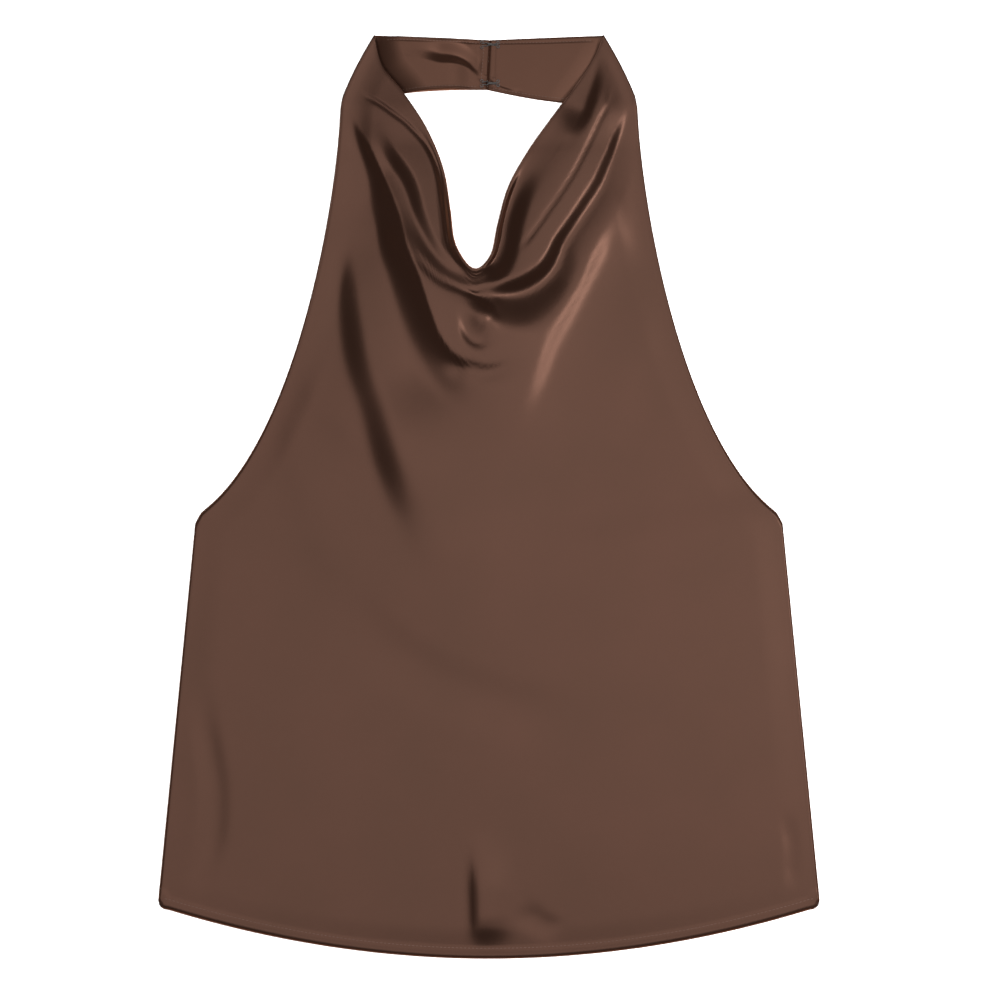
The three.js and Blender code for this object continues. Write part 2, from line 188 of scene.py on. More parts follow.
NECKLINE = [
    (-83.5, HALF_LENGTH), (-77.5, 314), (-62, 294), (-45, 268), (-33, 239), (-28, 210), (-24, 184),
    (-11, 166), (1, 176), (6, 198), (14, 226), (29, 253), (47, 278), (64, 301), (76, 319.5),
    (83.5, HALF_LENGTH),
]

SWELLS = [
    # name, middle, reach across and along, height
    ("cowl", (-5, 140), (95, 120), 13),
    ("left strap", (-58, 245), (36, 90), 6),
    ("right strap", (62, 245), (46, 95), 5.8),
    ("left of the cowl", (-82, 95), (54, 120), 11),
    ("below the cowl", (-40, -5), (75, 100), 5),
    ("bulge in the pocket", (-3, 131), (11, 12), 2.4),
    ("body", (0, -120), (210, 230), 3),
]

# Folds: from its lip the cloth falls outwards, to the right-hand side of the path, and climbs
# back over its reach. A list holds values at even steps along the path
FOLDS = [
    # name, drops, widths of the falling wall, reaches, where the wall and the climb are steepest
    # (from 0 at their start to 1 at their end), shares to ease in and out, path of the lip
    ("left cowl fold",
     [3.7, 7.5, 10.1, 12.3, 12.5], [10, 17, 23, 28, 34], [50, 80, 110, 80], [0], [0.5], 0.1, 0.24,
     [(-105, 285), (-100, 277), (-94, 266), (-88, 257), (-82, 246), (-72, 224), (-64, 204), (-59, 184),
      (-52, 166), (-47, 151), (-42, 136), (-36, 120), (-29, 109), (-20, 99.5), (-10, 91), (1, 84), (13, 79)]),
    ("long left fold", [3, 5.4, 6.8, 6.2], [18, 26, 30, 32], [80, 90], [0.5], [0.5], 0.15, 0.45,
     [(-100, 198), (-94, 160), (-89, 129), (-82, 100), (-71, 71), (-62, 42), (-52, 12), (-39, -17),
      (-27, -42), (-18, -68)]),
    ("right cowl fold",
     [1, 4.5, 8.4, 8.8, 7.6, 6.2, 5.2, 4.4, 3.6, 2.8, 2.2], [6, 9, 13, 13, 12, 12, 12, 11, 9, 7, 6],
     [14, 30, 40, 36, 31, 28, 27, 26, 24, 22, 20], [0.2], [0.7, 0.8, 0.7, 0.5, 0.2, 0, 0, 0, 0, 0, 0],
     0.05, 0.1,
     [(-21, 152), (-12, 153), (-4, 154), (8, 156), (23, 161), (34, 168), (41, 177), (47, 189), (56, 202),
      (66, 217), (75, 231), (82, 246), (89, 261), (96, 275), (103, 291)]),
    ("round of the pocket", [2.4], [6, 7.5, 6], [26, 22], [0.2], [0.6], 0.3, 0.45,
     [(8, 112), (0, 107), (-10, 106), (-19, 112), (-23, 122), (-23.5, 133), (-21, 142)]),
    ("under the second fold", [2.4], [6, 5], [20, 16], [0], [0.5], 0.2, 0.6,
     [(-27, 106), (-20, 101), (-12, 99), (-3, 96), (8, 98), (24, 105)]),
    ("hollow left of the neckline",
     [1.5, 3.7, 4.8, 5, 4.6, 3.6, 1.8, 0.6, 0], [9, 11, 12, 12, 11, 9, 7, 5, 4],
     [24, 34, 40, 38, 32, 26, 22, 18, 14], [0.2], [0.5], 0.2, 0.15,
     [(-77, 269), (-68, 253), (-56, 237), (-50, 224), (-46, 209), (-41, 195), (-35, 182), (-26, 171),
      (-13, 165), (-2, 165.5), (6, 173)]),
    ("bright fall beside the pocket",
     [1, 1.7, 2, 2.2, 2.5, 2.5, 2, 1.2], [9, 11, 12, 13, 13, 13, 12, 10], [70],
     [0.25], [0.5], 0.3, 0.15,
     [(15, 50), (25, 71), (33.5, 93), (41, 115), (52, 136.5), (63, 158), (77, 183), (88, 204)]),
]

# Rolls and creases: the cloth rises, or sinks, to both sides of a path
ROLLS = [
    # name, height, reach on the left and right, shares to ease in and out, path
    ("hollow right of the neckline", -6, 5, 17, 0.1, 0.55,
     [(-6, 163.5), (1, 168.5), (5.5, 175), (8.5, 185), (10.5, 197), (13.5, 209), (18, 222), (25, 236),
      (34, 251)]),
    ("upper right trough", -4.4, 32, 12, 0.35, 0.05,
     [(56, 262), (64, 275), (69, 289), (73.5, 304), (77, 319), (79, 328)]),
    ("crease under the cowl's roll", -1, 2.5, 5, 0.2, 0.15,
     [(-56, 182), (-50, 172), (-43, 164), (-36, 158), (-28, 154), (-21, 151), (-10, 147), (-1, 142),
      (9, 132)]),
    ("thin crease, left", -0.8, 2, 4, 0.15, 0.1,
     [(-98, 299), (-91, 293), (-80, 287), (-69, 279), (-61, 273), (-54, 266), (-47, 258), (-41, 247),
      (-37, 235), (-35, 220), (-34, 210), (-33, 199), (-31, 184), (-26, 173)]),
    ("thin crease, right", -0.9, 2.5, 4, 0.2, 0.1,
     [(91, 302), (87, 286), (81, 274), (75, 261), (68, 247), (61, 234), (52, 220), (43, 207), (34, 194),
      (23, 179)]),
    ("fold at the hem", 3.4, 12, 30, 0.34, 0.5, [(-5, -336), (-5, -305), (-6, -275), (-8, -240)]),
    ("dent at the hem", -0.9, 13, 15, 0.4, 0.3, [(22, -296), (36, -309), (52, -318)]),
    ("long dent at the left seam", -1.2, 15, 13, 0.35, 0.35,
     [(-211, -128), (-208, -165), (-200, -215), (-204, -258), (-220, -292)]),
    ("dent above the right hem corner", -1, 8, 10, 0.4, 0.3, [(217, -226), (222, -255), (221, -288)]),
    ("soft dent across the body", -1.1, 26, 34, 0.35, 0.35,
     [(-120, -60), (-62, -118), (10, -150), (84, -162)]),
]

SPLINE_DENSITY = 60


def spline(points, count):
    """Evenly spaced points on a smooth curve through the given ones."""
    p = np.array(points, float)
    padded = np.vstack([p[:1], p, p[-1:]])
    t = np.linspace(0, len(p) - 1, SPLINE_DENSITY * len(p))
    i = np.minimum(t.astype(int), len(p) - 2)
    w = (t - i)[:, None]
    p0, p1, p2, p3 = (padded[i + k] for k in range(4))
    v0, v1 = (p2 - p0) / 2, (p3 - p1) / 2
    dense = (2 * p1 - 2 * p2 + v0 + v1) * w ** 3 + (-3 * p1 + 3 * p2 - 2 * v0 - v1) * w ** 2 + v0 * w + p1
    length = np.concatenate([[0], np.cumsum(np.linalg.norm(np.diff(dense, axis=0), axis=1))])
    at = np.linspace(0, length[-1], count + 1)
    return np.column_stack([np.interp(at, length, values) for values in dense.T])


def ease(low, high, value):
    t = np.clip((value - low) / (high - low), 0, 1)
    return t * t * (3 - 2 * t)


def quarter_round(distance, reach):
    t = np.clip(distance / reach, 0, 1)
    return np.sqrt(1 - (1 - t) ** 2)


def bezier(points, t):
    points = [np.array(p, float) for p in points]
    t = t[:, None]
    while len(points) > 1:
        points = [a + (b - a) * t for a, b in zip(points, points[1:])]
    return points[0]


HEM_SIDE_Y = -HALF_LENGTH + (HEM_HALF - HEM_CORNER_RADIUS) ** 2 / (2 * HEM_RADIUS) + HEM_CORNER_RADIUS


def sharp_side(v):
    """Side-neck fold, armhole and side seam of the right side, v from 0 at the neck to 1 at the hem."""
    fold_top = (FOLD_TOP_HALF, HALF_LENGTH)
    fold_middle = ((FOLD_TOP_HALF + STRAP_CORNER[0]) / 2 + FOLD_BOW, (HALF_LENGTH + STRAP_CORNER[1]) / 2)
    top_pull = (STRAP_CORNER[0] + ARMHOLE_TOP_PULL[0], STRAP_CORNER[1] + ARMHOLE_TOP_PULL[1])
    underarm_pull = (UNDERARM[0] + ARMHOLE_UNDERARM_PULL[0], UNDERARM[1] + ARMHOLE_UNDERARM_PULL[1])
    fold = bezier([fold_top, fold_middle, STRAP_CORNER], np.clip(v / FOLD_SHARE, 0, 1))
    armhole = bezier([STRAP_CORNER, top_pull, underarm_pull, UNDERARM],
                     np.clip((v - FOLD_SHARE) / (ARMHOLE_SHARE - FOLD_SHARE), 0, 1))
    seam = bezier([UNDERARM, (HEM_HALF, HEM_SIDE_Y)],
                  np.clip((v - ARMHOLE_SHARE) / (1 - ARMHOLE_SHARE), 0, 1))
    v = v[:, None]
    return np.where(v < FOLD_SHARE, fold, np.where(v < ARMHOLE_SHARE, armhole, seam))


def side_points(side, v):
    blend = np.minimum(CORNER_BLEND, np.minimum(v, 1 - v))
    points = (sharp_side(v - blend) + sharp_side(v + blend)) / 2
    return points * [side, 1]


def hem_points(u):
    x = -HEM_HALF + 2 * HEM_HALF * u
    inner = HEM_HALF - HEM_CORNER_RADIUS
    corner = np.maximum(0, np.abs(x) - inner) / HEM_CORNER_RADIUS
    rise = HEM_CORNER_RADIUS * (1 - np.sqrt(np.maximum(0, 1 - corner ** 2)))
    return np.column_stack([x, -HALF_LENGTH + np.minimum(np.abs(x), inner) ** 2 / (2 * HEM_RADIUS) + rise])


NECK_STEPS = 400
neck_curve = spline(NECKLINE, NECK_STEPS)


def neck_points(u):
    at = np.linspace(0, 1, NECK_STEPS + 1)
    return np.column_stack([np.interp(u, at, neck_curve[:, k]) for k in (0, 1)])


def front_plan(u, v):
    """Points of the front in plan: u across from left to right, v from the neckline to the hem."""
    neck, hem, left, right = neck_points(u), hem_points(u), side_points(-1, v), side_points(1, v)
    ends = np.array([0.0, 1.0])
    (neck_left, hem_left), (neck_right, hem_right) = side_points(-1, ends), side_points(1, ends)
    u, v = u[:, None], v[:, None]
    return ((1 - v) * neck + v * hem + (1 - u) * left + u * right
            - (1 - v) * ((1 - u) * neck_left + u * neck_right) - v * ((1 - u) * hem_left + u * hem_right))


SHARE_BLUR = 2.5


def measure_from(path, points):
    """Distance from each point to a path, the side it lies on, and the share of the path passed.

    The share is blended over the nearby steps, so that what follows it turns corners softly.
    """
    best = np.full(len(points), np.inf)
    side = np.ones(len(points))
    for a, b in zip(path[:-1], path[1:]):
        step = b - a
        t = np.clip((points - a) @ step / max(step @ step, 1e-12), 0, 1)
        offset = points - (a + t[:, None] * step)
        distance = np.hypot(*offset.T)
        near = distance < best
        best[near] = distance[near]
        side[near] = np.sign(step[0] * offset[near, 1] - step[1] * offset[near, 0])
    weight = np.full(len(points), 1e-12)
    share = np.zeros(len(points))
    for i, a in enumerate(path):
        closeness = np.exp((best - np.hypot(*(points - a).T)) / SHARE_BLUR)
        weight += closeness
        share += closeness * i / (len(path) - 1)
    return best, side, share / weight


PATH_STEPS = 100


def near_path(points, path, margin):
    return np.all((points > path.min(0) - margin) & (points < path.max(0) + margin), axis=1)


def roll_height(rolls, points):
    total = np.zeros(len(points))
    for name, height, left, right, start, end, path in rolls:
        path = spline(path, PATH_STEPS)
        near = near_path(points, path, max(left, right))
        distance, side, passed = measure_from(path, points[near])
        reach = np.where(side > 0, left, right)
        across = 0.5 + 0.5 * np.cos(np.pi * np.minimum(1, distance / reach))
        total[near] += height * across * ease(0, start, passed) * ease(0, end, 1 - passed)
    return total


def along(values, share):
    """The value of a list at a share of the path, on a smooth curve through its values."""
    v = np.array([values[0], *values, values[-1]], float)
    place = share * (len(values) - 1)
    i = np.clip(place.astype(int), 0, max(0, len(values) - 2))
    w = place - i
    before, a, b, after = v[i], v[i + 1], v[i + 2], v[np.minimum(i + 3, len(v) - 1)]
    rise_a, rise_b = (b - before) / 2, (after - a) / 2
    return (a + rise_a * w + (3 * (b - a) - 2 * rise_a - rise_b) * w ** 2
            + (2 * (a - b) + rise_a + rise_b) * w ** 3)


def bend(t, at):
    """A rise from 0 to 1 that is steepest at its start, middle or end, as at is 0, 0.5 or 1."""
    t = np.clip(t, 0, 1)
    first, last = np.maximum(0, 1 - 2 * at), np.maximum(0, 2 * at - 1)
    return first * (1 - (1 - t) ** 1.5) + (1 - first - last) * t * t * (3 - 2 * t) + last * t ** 1.5


def fold_drop(folds, points):
    total = np.zeros(len(points))
    for name, drops, walls, reaches, wall_steepest, climb_steepest, start, end, path in folds:
        path = spline(path, PATH_STEPS)
        near = near_path(points, path, max(reaches))
        distance, side, passed = measure_from(path, points[near])
        drop, wall, reach, falls_at, climbs_at = (
            along(values, passed) for values in (drops, walls, reaches, wall_steepest, climb_steepest))
        down = bend(-side * distance / wall, falls_at)
        turn = wall * CLIMB_START
        back = 1 - bend((distance - turn) / (reach - turn), climbs_at)
        total[near] += drop * down * back * ease(0, start, passed) * ease(0, end, 1 - passed)
    return total


def swell_height(points):
    total = np.zeros(len(points))
    for name, middle, reach, height in SWELLS:
        away = (points - middle) / reach
        total += height * np.exp(-SWELL_FALL * (away ** 2).sum(1))
    return total


def back_top_y(x):
    return BACK_SCOOP_Y + BACK_SCOOP_RISE * (x / UNDERARM[0]) ** 2


EDGE_STEPS = 160
edge_steps = np.linspace(0, 1, EDGE_STEPS + 1)
loop_lines = [side_points(side, FOLD_SHARE * edge_steps[::4]) for side in (-1, 1)]
neck_edge = neck_points(edge_steps)
hem_edge = hem_points(1 - edge_steps)
side_edges = [side_points(side, edge_steps) for side in (-1, 1)]


def loop_lift(points, reach):
    distance = np.minimum(*[measure_from(line, points)[0] for line in loop_lines])
    return LOOP_RISE * (1 - quarter_round(distance, reach))


def front_floor(points):
    x, y = points.T
    over_back = 1 - ease(0, OVER_BACK_FADE, y - back_top_y(x) - BACK_INSET)
    over_band = ease(STRAP_CORNER[1] - OVER_BACK_FADE, STRAP_CORNER[1] - BACK_INSET, y)
    return (CLOTH + SEAM_GAP) * np.maximum(over_back, over_band) + loop_lift(points, FRONT_LOOP_REACH)


def front_underside(points):
    from_neck, _, neck_share = measure_from(neck_edge, points)
    from_sides = np.minimum(*[measure_from(edge, points)[0] for edge in side_edges])
    from_hem = measure_from(hem_edge, points)[0]
    folds = swell_height(points) + roll_height(ROLLS, points) - fold_drop(FOLDS, points)
    folds = folds * ease(0, SIDE_EASE, from_sides) * ease(0, HEM_EASE, from_hem)
    folds = folds * (NECK_LOW + (1 - NECK_LOW) * ease(0, NECK_EASE, from_neck))
    height = LEAST_HEIGHT + (REST_HEIGHT + folds + np.sqrt((REST_HEIGHT + folds) ** 2 + 1)) / 2
    height = height + HEM_THICKNESS * (1 - ease(HEM_DEPTH - 1, HEM_DEPTH + 1, from_hem))
    lip = np.exp(-((neck_share - LIP_SHARE[0]) / LIP_SHARE[1]) ** 2)
    at_lip = LIP_SINK * lip * (1 - ease(0, LIP_TURN, from_neck))
    neck = 1 - NECK_SINK * (1 - quarter_round(from_neck, NECK_TURN)) - at_lip
    outside = quarter_round(np.minimum(from_sides, from_hem), EDGE_TURN)
    return front_floor(points) + height * np.minimum(neck, outside)


def sloped_wall(points, low, shape):
    """Top of a cloth wall of even thickness over an underside."""
    x, y, z = (a.reshape(shape) for a in (points[:, 0], points[:, 1], low))
    along_u = [np.gradient(a, axis=1) for a in (x, y, z)]
    along_v = [np.gradient(a, axis=0) for a in (x, y, z)]
    normal = np.cross(np.stack(along_u, -1), np.stack(along_v, -1))
    upright = np.linalg.norm(normal, axis=-1) / np.maximum(np.abs(normal[..., 2]), 1e-9)
    return low + CLOTH * np.minimum(STEEPEST, upright).ravel()


def cloth_piece(name, columns, rows, plan, underside, material, edge):
    """A closed cloth wall over a grid, with an attribute that is 1 along its edge line."""
    s, t = np.meshgrid(np.linspace(0, 1, columns + 1), np.linspace(0, 1, rows + 1))
    points = plan(s.ravel(), t.ravel())
    low = underside(points)
    high = sloped_wall(points, low, s.shape)
    layer = len(points)
    vertices = np.vstack([np.column_stack([points, low]), np.column_stack([points, high])]) * MM
    grid = np.arange(layer).reshape(s.shape)
    a, b, c, d = grid[:-1, :-1].ravel(), grid[1:, :-1].ravel(), grid[1:, 1:].ravel(), grid[:-1, 1:].ravel()
    rim = np.concatenate([grid[0, :-1], grid[:-1, -1], grid[-1, :0:-1], grid[:0:-1, 0]])
    after = np.roll(rim, -1)
    faces = np.vstack([
        np.column_stack([a, b, c, d]) + layer,
        np.column_stack([a, d, c, b]),
        np.column_stack([rim, rim + layer, after + layer, after]),
    ])
    mesh = bpy.data.meshes.new(name)
    mesh.from_pydata(vertices.tolist(), [], faces.tolist())
    mesh.polygons.foreach_set("use_smooth", np.ones(len(faces), bool))
    mesh.materials.append(material)
    worn = 1 - ease(0, WORN_WIDTH, measure_from(edge, points)[0])
    mesh.attributes.new("worn", "FLOAT", "POINT").data.foreach_set("value", np.tile(worn, 2))
    piece = bpy.data.objects.new(name, mesh)
    scene.collection.objects.link(piece)
    return piece


FRONT_COLUMNS = 210
FRONT_ROWS = 200
COLUMN_CROWDING = 0.6
ROW_CROWDING = 0.6
ROW_LEAN = 0.3


def front_grid(s, t):
    u = s - COLUMN_CROWDING * np.sin(2 * np.pi * s) / (2 * np.pi)
    v = t - ROW_CROWDING * np.sin(2 * np.pi * t) / (2 * np.pi) - ROW_LEAN * np.sin(np.pi * t) / np.pi
    return front_plan(u, v)


FLOAT_PITCH = 0.26
FLOAT_RELIEF = 0.01
SLUB_LENGTH = 9.0
SLUBS_PER_FLOAT = 0.6
CLOUD_SCALE = 11.0
WAVE_PERIOD = 0.314     # period of the wave pattern's bands at scale 1

# What the satin gives back at a low angle
GRAZING_TINT = "#e6bda9"
SHEEN = 0.35
SHEEN_ROUGHNESS = 0.5
SHEEN_TINT = "#b8795f"


def satin_cloth(name, deep, pale, gloss, metal):
    """Satin with fine floats on the bias, faint slubs and clouds of colour, and dulled edges."""
    material, tree = new_material(name)
    place = add_node(tree, "ShaderNodeTexCoord").outputs["Object"]
    bias = add_node(tree, "ShaderNodeMapping", Vector=place, Rotation=(0, 0, math.radians(45)))
    floats = add_node(tree, "ShaderNodeTexWave", Vector=bias.outputs[0],
                      Scale=WAVE_PERIOD / (FLOAT_PITCH * MM), Distortion=1.2, Detail=1.0, Detail_Scale=1.5)
    stretched = add_node(tree, "ShaderNodeMapping", Vector=bias.outputs[0],
                         Scale=(1, FLOAT_PITCH / SLUB_LENGTH, 1))
    slubs = add_node(tree, "ShaderNodeTexNoise", Vector=stretched.outputs[0],
                     Scale=SLUBS_PER_FLOAT / (FLOAT_PITCH * MM), Detail=2.0)
    clouds = add_node(tree, "ShaderNodeTexNoise", Vector=place, Scale=CLOUD_SCALE, Detail=3.0,
                      Roughness=0.55)
    worn = add_node(tree, "ShaderNodeAttribute", {"attribute_name": "worn"}).outputs["Fac"]
    tint = add_node(tree, "ShaderNodeMath", {"operation": "MULTIPLY_ADD"}, i0=slubs.outputs[0],
                    i1=0.35, i2=clouds.outputs[0])
    shade = add_node(tree, "ShaderNodeMapRange", Value=tint.outputs[0], From_Min=0.45, From_Max=0.9)
    colour = add_node(tree, "ShaderNodeMix", {"data_type": "RGBA"}, i0=shade.outputs[0],
                      i6=linear(deep), i7=linear(pale))
    dulled = add_node(tree, "ShaderNodeMapRange", Value=worn, To_Min=gloss - 0.03, To_Max=gloss + 0.08)
    roughness = add_node(tree, "ShaderNodeMath", {"operation": "MULTIPLY_ADD"}, i0=slubs.outputs[0],
                         i1=0.06, i2=dulled.outputs[0])
    relief = add_node(tree, "ShaderNodeMath", {"operation": "ADD"},
                      i0=floats.outputs["Fac"], i1=slubs.outputs[0])
    bump = add_node(tree, "ShaderNodeBump", Strength=0.25, Distance=FLOAT_RELIEF * MM,
                    Height=relief.outputs[0])
    shader = add_node(tree, "ShaderNodeBsdfPrincipled", Base_Color=colour.outputs[2],
                      Roughness=roughness.outputs[0], Metallic=metal, Normal=bump.outputs[0],
                      Specular_Tint=linear(GRAZING_TINT), Sheen_Weight=SHEEN,
                      Sheen_Roughness=SHEEN_ROUGHNESS, Sheen_Tint=linear(SHEEN_TINT))
    add_node(tree, "ShaderNodeOutputMaterial", Surface=shader.outputs[0])
    return material


# Polyester satin, face side: long floats give it a tinted, softly mirror-like lustre
satin = satin_cloth("polyester_satin_face", "#231712", "#251813", 0.34, 0.94)

front = cloth_piece("front_panel_cloth", FRONT_COLUMNS, FRONT_ROWS, front_grid, front_underside, satin,
                    np.vstack([neck_edge, side_edges[1][1:], hem_edge[1:], side_edges[0][-2::-1]]))
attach(front, "root")
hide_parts("front_panel")

# Hem stitches: the hem is turned up by 8 mm and sewn with one straight row of spun polyester
# thread, a little paler than the cloth.
THREAD_GAUGE = 0.3
STITCH_SIDES = 6
STITCH_RINGS = 4
STITCH_UNEVENNESS = (0.88, 1.08)
THREAD_LIFT = 0.03
PLY_SCALE = 900.0
FUZZ_SCALE = 5000.0

# Spun polyester thread: matt, with the twist of its plies
thread, tree = new_material("polyester_sewing_thread")
place = add_node(tree, "ShaderNodeTexCoord").outputs["Object"]
plies = add_node(tree, "ShaderNodeTexWave", {"bands_direction": "DIAGONAL"}, Vector=place,
                 Scale=PLY_SCALE, Distortion=0.8)
fuzz = add_node(tree, "ShaderNodeTexNoise", Vector=place, Scale=FUZZ_SCALE, Detail=2.0)
tone = add_node(tree, "ShaderNodeMix", {"data_type": "RGBA"}, i0=plies.outputs["Fac"],
                i6=linear("#2f1e17"), i7=linear("#4b342a"))
gloss = add_node(tree, "ShaderNodeMapRange", Value=fuzz.outputs[0], To_Min=0.5, To_Max=0.75)
bump = add_node(tree, "ShaderNodeBump", Strength=0.5, Distance=0.03 * MM, Height=plies.outputs["Fac"])
shader = add_node(tree, "ShaderNodeBsdfPrincipled", Base_Color=tone.outputs[2], Roughness=gloss.outputs[0],
                  Metallic=0.0, Normal=bump.outputs[0])
add_node(tree, "ShaderNodeOutputMaterial", Surface=shader.outputs[0])

# The stitch maker: a stitch at each step of a line, turned from it, a little uneven in length
stitches = bpy.data.node_groups.new("row_of_stitches", "GeometryNodeTree")
stitches.interface.new_socket("Line", in_out="INPUT", socket_type="NodeSocketGeometry")
STITCH_INPUTS = [
    ("Pitch", "Float"), ("Length", "Float"), ("Gauge", "Float"), ("Turn", "Float"), ("Seed", "Int"),
    ("Thread", "Material"),
]
for label, kind in STITCH_INPUTS:
    stitches.interface.new_socket(label, in_out="INPUT", socket_type=f"NodeSocket{kind}")
stitches.interface.new_socket("Stitches", in_out="OUTPUT", socket_type="NodeSocketGeometry")
given = add_node(stitches, "NodeGroupInput").outputs
curve = add_node(stitches, "GeometryNodeMeshToCurve", Mesh=given["Line"])
stepped = add_node(stitches, "GeometryNodeResampleCurve", {"mode": "LENGTH"}, Curve=curve.outputs[0],
                   Length=given["Pitch"])
tangent = add_node(stitches, "GeometryNodeInputTangent")
turned = add_node(stitches, "ShaderNodeVectorRotate", {"rotation_type": "Z_AXIS"},
                  Vector=tangent.outputs[0], Angle=given["Turn"])
aligned = add_node(stitches, "FunctionNodeAlignRotationToVector", {"axis": "X"}, Vector=turned.outputs[0])
uneven = add_node(stitches, "FunctionNodeRandomValue", {"data_type": "FLOAT"},
                  i2=STITCH_UNEVENNESS[0], i3=STITCH_UNEVENNESS[1], Seed=given["Seed"])
length = add_node(stitches, "ShaderNodeMath", {"operation": "MULTIPLY"}, i0=uneven.outputs[1],
                  i1=given["Length"])
size = add_node(stitches, "ShaderNodeCombineXYZ", X=length.outputs[0], Y=given["Gauge"], Z=given["Gauge"])
stitch = add_node(stitches, "GeometryNodeMeshUVSphere", Segments=STITCH_SIDES, Rings=STITCH_RINGS, Radius=0.5)
placed = add_node(stitches, "GeometryNodeInstanceOnPoints", Points=stepped.outputs[0],
                  Instance=stitch.outputs[0], Rotation=aligned.outputs[0], Scale=size.outputs[0])
real = add_node(stitches, "GeometryNodeRealizeInstances", Geometry=placed.outputs[0])
threaded = add_node(stitches, "GeometryNodeSetMaterial", Geometry=real.outputs[0], Material=given["Thread"])
add_node(stitches, "NodeGroupOutput", i0=threaded.outputs[0])


def stitch_rows(name, lines, pitch, length, turn, seed):
    """Rows of stitches along lines of points in millimetres."""
    starts = np.cumsum([0] + [len(line) for line in lines])
    edges = [(i, i + 1)
             for start, line in zip(starts.tolist(), lines)
             for i in range(start, start + len(line) - 1)]
    mesh = bpy.data.meshes.new(f"{name}_line")
    mesh.from_pydata((np.vstack(lines) * MM).tolist(), edges, [])
    row = bpy.data.objects.new(name, mesh)
    scene.collection.objects.link(row)
    modifier = row.modifiers.new("stitches", "NODES")
    modifier.node_group = stitches
    values = [pitch * MM, length * MM, THREAD_GAUGE * MM, math.radians(turn), seed, thread]
    sockets = [item for item in stitches.interface.items_tree if item.in_out == "INPUT"][1:]
    for socket, value in zip(sockets, values):
        modifier[socket.identifier] = value
    evaluated = row.evaluated_get(bpy.context.evaluated_depsgraph_get())
    made = bpy.data.meshes.new_from_object(evaluated)
    row.modifiers.clear()
    row.data = made
    made.polygons.foreach_set("use_smooth", np.ones(len(made.polygons), bool))
    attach(row, "root")


def on_cloth(plan_points, underside, lift):
    """Points on top of a cloth wall over places in plan."""
    return np.column_stack([plan_points, underside(plan_points) + CLOTH + lift])


HEM_STITCH_PITCH = 2.9
HEM_STITCH = 2.2
HEM_ROW = (0.012, 0.988)
HEM_ROW_STEPS = 300
hem_row = hem_points(np.linspace(*HEM_ROW, HEM_ROW_STEPS)) + [0, HEM_DEPTH]
hem_line = on_cloth(hem_row, front_underside, THREAD_LIFT)
stitch_rows("hem_stitches", [hem_line], HEM_STITCH_PITCH, HEM_STITCH, 0, 3)

# Back panel: one flat piece from the hem to the underarms, its inside up under the front. The
# two are sewn together at the side seams.
BACK_COLUMNS = 80
BACK_ROWS = 50


def back_grid(s, t):
    across = 2 * s - 1
    top = back_top_y(across * UNDERARM[0])
    hem = hem_points((BACK_INSET + s * 2 * (HEM_HALF - BACK_INSET)) / (2 * HEM_HALF))[:, 1] + BACK_INSET
    y = top + (hem - top) * t
    half = UNDERARM[0] + (HEM_HALF - UNDERARM[0]) * (y - UNDERARM[1]) / (
        HEM_SIDE_Y - UNDERARM[1]) - BACK_INSET
    return np.column_stack([across * half, y])


def rim_line(grid, count):
    """The outline of a grid that runs from 0 to 1 both ways, once round from its first corner."""
    steps, ends = np.linspace(0, 1, count), np.ones(count)
    return np.vstack([grid(steps, 0 * ends), grid(ends, steps)[1:], grid(steps[::-1], ends)[1:],
                      grid(0 * ends, steps[::-1])[1:]])


BACK_CREASES = [
    # name, height, reach on the left and right, shares to ease in and out, path
    ("crease from the left seam", 0.7, 9, 16, 0.25, 0.5,
     [(-190, -95), (-150, -120), (-100, -152), (-62, -190)]),
    ("crease from the right seam", 0.9, 14, 8, 0.3, 0.4,
     [(196, -60), (142, -88), (98, -128), (75, -150)]),
    ("short crease", 0.5, 6, 10, 0.4, 0.4, [(-40, -85), (-22, -122), (-12, -171)]),
    ("crease above the hem", 0.6, 12, 7, 0.35, 0.45, [(150, -282), (98, -268), (38, -262)]),
]


def back_underside(points):
    return roll_height(BACK_CREASES, points)


# The same satin's inside: shorter floats, so it is duller
satin_inside = satin_cloth("polyester_satin_inside", "#261812", "#291a14", 0.42, 0.88)
back = cloth_piece("back_panel_cloth", BACK_COLUMNS, BACK_ROWS, back_grid, back_underside,
                   satin_inside, rim_line(back_grid, EDGE_STEPS // 2))
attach(back, "root")
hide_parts("back_panel")

# Neckband halves: folded satin bands that lie inside up, turned in at both edges and at their
# ends, which butt at the centre back. The left one has a pulled fold.
BAND_MIDDLE_TOP_Y = 333.2
BAND_MIDDLE_LOW_Y = 297.0
BAND_SLANT = 1.1
BAND_MIDDLE_X = -0.4
BAND_CROWDING = 1.6
BAND_EDGE_TURN = 1.8
BAND_EDGE_STEPS = 60
BAND_SOFTENING = 0.1
BAND_FLAT_END = (8.0, 30.0)
BAND_END_RISE = 0.9
BUTT_GAP = 0.06
BAND_COLUMNS = 120
BAND_ROWS = 56
BAND_HALVES = [
    # name, side, bow of the lower edge, height of its swell and the width over which it sinks at the strap
    ("neckband_left", -1, 3.0, 6.2, 18.0),
    ("neckband_right", 1, -4.5, 1.3, 12.0),
]
BAND_STITCH_PITCH = 2.4
BAND_STITCH = 1.8
BAND_STITCH_ROWS = [
    # from and to across the half, from and to down it
    ((0.045, 0.045), (0.06, 0.95)),
    ((0.06, 0.86), (0.07, 0.07)),
    ((0.06, 0.6), (0.94, 0.94)),
]
